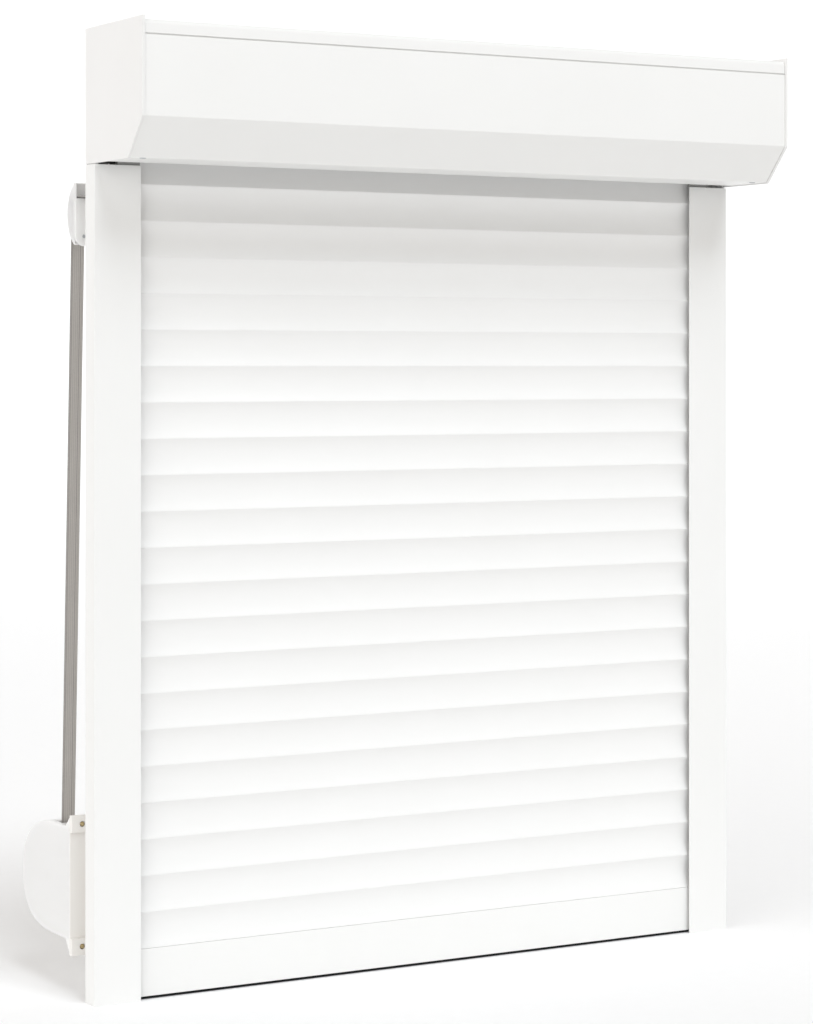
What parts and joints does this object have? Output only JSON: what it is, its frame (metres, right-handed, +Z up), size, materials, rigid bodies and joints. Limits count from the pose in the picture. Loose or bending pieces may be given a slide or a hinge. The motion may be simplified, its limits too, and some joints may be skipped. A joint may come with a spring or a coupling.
{
  "type": "exterior roller shutter",
  "caption": "Exterior roller shutter: bevelled box with a winding shaft, guide rails, a curtain of hooked slats with a bottom bar, and a strap drive with a guide and spring winder.",
  "frame": {"origin": "middle of the shutter's width, at the rail feet, on the wall face that the rails and box lie against", "axes": "+X to the right seen from outside, +Y through the wall into the room, +Z up"},
  "size_m": [0.785, 0.306, 0.985],
  "materials": {
    "coated_aluminium": "white stove enamel, satin",
    "slat_coat": "white coil coat, satin",
    "end_cap_cast": "white powder coat on a casting",
    "white_plastic": "moulded white plastic",
    "dark_plastic": "moulded dark grey plastic",
    "galvanised_steel": "galvanised",
    "bearing_steel": "ground steel",
    "brass_screw": "yellow passivated",
    "black_rubber": "extruded rubber",
    "grey_webbing": "woven polyester strap with ribs"
  },
  "bodies": {
    "frame": {"left_end_cap": "end_cap_cast", "right_end_cap": "end_cap_cast", "top_panel": "coated_aluminium", "front_cover": "coated_aluminium", "cover_screws": "galvanised_steel", "left_bearing": "bearing_steel", "right_bearing": "bearing_steel", "left_rail": "coated_aluminium", "right_rail": "coated_aluminium", "left_rail_seals": "black_rubber", "right_rail_seals": "black_rubber", "left_inlet_guide": "dark_plastic", "right_inlet_guide": "dark_plastic", "strap_outlet": "dark_plastic", "strap": "grey_webbing", "guide_plate": "white_plastic", "guide_cover": "white_plastic", "guide_pin": "bearing_steel", "guide_screw": "galvanised_steel", "winder_plate": "white_plastic", "winder_housing": "white_plastic", "winder_axle": "bearing_steel", "winder_screws": "brass_screw"},
    "bottom_bar": {"bottom_bar": "coated_aluminium", "bottom_seal": "black_rubber"},
    "winding_shaft": {"winding_tube": "galvanised_steel", "left_tube_plug": "dark_plastic", "right_tube_plug": "dark_plastic", "left_axle_pin": "bearing_steel", "right_axle_pin": "bearing_steel", "strap_pulley": "dark_plastic", "pulley_coil": "grey_webbing", "hangers": "galvanised_steel"},
    "guide_roller": {"guide_roller": "white_plastic"},
    "winder_drum": {"winder_drum": "white_plastic", "winder_coil": "grey_webbing", "winder_spring": "galvanised_steel"},
    "slat_01": {"slat_01": "slat_coat"},
    "slat_02": {"slat_02": "slat_coat"},
    "slat_03": {"slat_03": "slat_coat"},
    "slat_04": {"slat_04": "slat_coat"},
    "slat_05": {"slat_05": "slat_coat"},
    "slat_06": {"slat_06": "slat_coat"},
    "slat_07": {"slat_07": "slat_coat"},
    "slat_08": {"slat_08": "slat_coat"},
    "slat_09": {"slat_09": "slat_coat"},
    "slat_10": {"slat_10": "slat_coat"},
    "slat_11": {"slat_11": "slat_coat"},
    "slat_12": {"slat_12": "slat_coat"},
    "slat_13": {"slat_13": "slat_coat"},
    "slat_14": {"slat_14": "slat_coat"},
    "slat_15": {"slat_15": "slat_coat"},
    "slat_16": {"slat_16": "slat_coat"},
    "slat_17": {"slat_17": "slat_coat"},
    "slat_18": {"slat_18": "slat_coat"},
    "slat_19": {"slat_19": "slat_coat"},
    "slat_20": {"slat_20": "slat_coat"},
    "slat_21": {"slat_21": "slat_coat"},
    "slat_22": {"slat_22": "slat_coat"}
  },
  "joints": [
    {"name": "curtain_lift", "type": "slide", "parent": "frame", "child": "bottom_bar", "axis": [0, 0, 1], "range_m": [0, 0.79], "deforming": ["slat_01", "slat_02", "slat_03", "slat_04", "slat_05", "slat_06", "slat_07", "slat_08", "slat_09", "slat_10", "slat_11", "slat_12", "slat_13", "slat_14", "slat_15", "slat_16", "slat_17", "slat_18", "slat_19", "slat_20", "slat_21", "slat_22", "hangers"]},
    {"name": "shaft_turn", "type": "hinge", "parent": "frame", "child": "winding_shaft", "pos_m": [0, -0.066, 0.917], "axis": [1, 0, 0], "range_deg": [0, 1440.5]},
    {"name": "guide_roller_turn", "type": "hinge", "parent": "frame", "child": "guide_roller", "pos_m": [-0.377, 0.047, 0.811], "axis": [1, 0, 0], "range_deg": [-9995, 0]},
    {"name": "drum_turn", "type": "hinge", "parent": "frame", "child": "winder_drum", "pos_m": [-0.377, 0.1025, 0.113], "axis": [1, 0, 0], "range_deg": [0, 2665]},
    {"name": "slat_01_rise", "type": "slide", "parent": "frame", "child": "slat_01", "axis": [0, 0, 1], "range_m": [0, 0.7902]},
    {"name": "slat_02_rise", "type": "slide", "parent": "frame", "child": "slat_02", "axis": [0, 0, 1], "range_m": [0, 0.7575]},
    {"name": "slat_03_rise", "type": "slide", "parent": "frame", "child": "slat_03", "axis": [0, 0, 1], "range_m": [0, 0.7248]},
    {"name": "slat_04_rise", "type": "slide", "parent": "frame", "child": "slat_04", "axis": [0, 0, 1], "range_m": [0, 0.6921]},
    {"name": "slat_05_rise", "type": "slide", "parent": "frame", "child": "slat_05", "axis": [0, 0, 1], "range_m": [0, 0.6594]},
    {"name": "slat_06_rise", "type": "slide", "parent": "frame", "child": "slat_06", "axis": [0, 0, 1], "range_m": [0, 0.6267]},
    {"name": "slat_07_rise", "type": "slide", "parent": "frame", "child": "slat_07", "axis": [0, 0, 1], "range_m": [0, 0.594]},
    {"name": "slat_08_rise", "type": "slide", "parent": "frame", "child": "slat_08", "axis": [0, 0, 1], "range_m": [0, 0.5613]},
    {"name": "slat_09_rise", "type": "slide", "parent": "frame", "child": "slat_09", "axis": [0, 0, 1], "range_m": [0, 0.5286]},
    {"name": "slat_10_rise", "type": "slide", "parent": "frame", "child": "slat_10", "axis": [0, 0, 1], "range_m": [0, 0.4959]},
    {"name": "slat_11_rise", "type": "slide", "parent": "frame", "child": "slat_11", "axis": [0, 0, 1], "range_m": [0, 0.4632]},
    {"name": "slat_12_rise", "type": "slide", "parent": "frame", "child": "slat_12", "axis": [0, 0, 1], "range_m": [0, 0.4305]},
    {"name": "slat_13_rise", "type": "slide", "parent": "frame", "child": "slat_13", "axis": [0, 0, 1], "range_m": [0, 0.3978]},
    {"name": "slat_14_rise", "type": "slide", "parent": "frame", "child": "slat_14", "axis": [0, 0, 1], "range_m": [0, 0.3651]},
    {"name": "slat_15_rise", "type": "slide", "parent": "frame", "child": "slat_15", "axis": [0, 0, 1], "range_m": [0, 0.3324]},
    {"name": "slat_16_rise", "type": "slide", "parent": "frame", "child": "slat_16", "axis": [0, 0, 1], "range_m": [0, 0.2997]},
    {"name": "slat_17_rise", "type": "slide", "parent": "frame", "child": "slat_17", "axis": [0, 0, 1], "range_m": [0, 0.267]},
    {"name": "slat_18_rise", "type": "slide", "parent": "frame", "child": "slat_18", "axis": [0, 0, 1], "range_m": [0, 0.2343]},
    {"name": "slat_19_rise", "type": "slide", "parent": "frame", "child": "slat_19", "axis": [0, 0, 1], "range_m": [0, 0.2016]},
    {"name": "slat_20_rise", "type": "slide", "parent": "frame", "child": "slat_20", "axis": [0, 0, 1], "range_m": [0, 0.1689]},
    {"name": "slat_21_rise", "type": "slide", "parent": "frame", "child": "slat_21", "axis": [0, 0, 1], "range_m": [0, 0.1362]},
    {"name": "slat_22_rise", "type": "slide", "parent": "frame", "child": "slat_22", "axis": [0, 0, 1], "range_m": [0, 0.1035]}
  ],
  "couplings": [
    {"joint": "shaft_turn", "follows": "curtain_lift", "rad_per_m": 31.814},
    {"joint": "guide_roller_turn", "follows": "curtain_lift", "rad_per_m": -220.71},
    {"joint": "drum_turn", "follows": "curtain_lift", "rad_per_m": 58.773},
    {"joint": "slat_01_rise", "follows": "curtain_lift", "ratio": 1},
    {"joint": "slat_02_rise", "follows": "curtain_lift", "ratio": 0.95861},
    {"joint": "slat_03_rise", "follows": "curtain_lift", "ratio": 0.91722},
    {"joint": "slat_04_rise", "follows": "curtain_lift", "ratio": 0.87582},
    {"joint": "slat_05_rise", "follows": "curtain_lift", "ratio": 0.83443},
    {"joint": "slat_06_rise", "follows": "curtain_lift", "ratio": 0.79304},
    {"joint": "slat_07_rise", "follows": "curtain_lift", "ratio": 0.75165},
    {"joint": "slat_08_rise", "follows": "curtain_lift", "ratio": 0.71025},
    {"joint": "slat_09_rise", "follows": "curtain_lift", "ratio": 0.66886},
    {"joint": "slat_10_rise", "follows": "curtain_lift", "ratio": 0.62747},
    {"joint": "slat_11_rise", "follows": "curtain_lift", "ratio": 0.58608},
    {"joint": "slat_12_rise", "follows": "curtain_lift", "ratio": 0.54468},
    {"joint": "slat_13_rise", "follows": "curtain_lift", "ratio": 0.50329},
    {"joint": "slat_14_rise", "follows": "curtain_lift", "ratio": 0.4619},
    {"joint": "slat_15_rise", "follows": "curtain_lift", "ratio": 0.42051},
    {"joint": "slat_16_rise", "follows": "curtain_lift", "ratio": 0.37911},
    {"joint": "slat_17_rise", "follows": "curtain_lift", "ratio": 0.33772},
    {"joint": "slat_18_rise", "follows": "curtain_lift", "ratio": 0.29633},
    {"joint": "slat_19_rise", "follows": "curtain_lift", "ratio": 0.25494},
    {"joint": "slat_20_rise", "follows": "curtain_lift", "ratio": 0.21354},
    {"joint": "slat_21_rise", "follows": "curtain_lift", "ratio": 0.17215},
    {"joint": "slat_22_rise", "follows": "curtain_lift", "ratio": 0.13076}
  ]
}
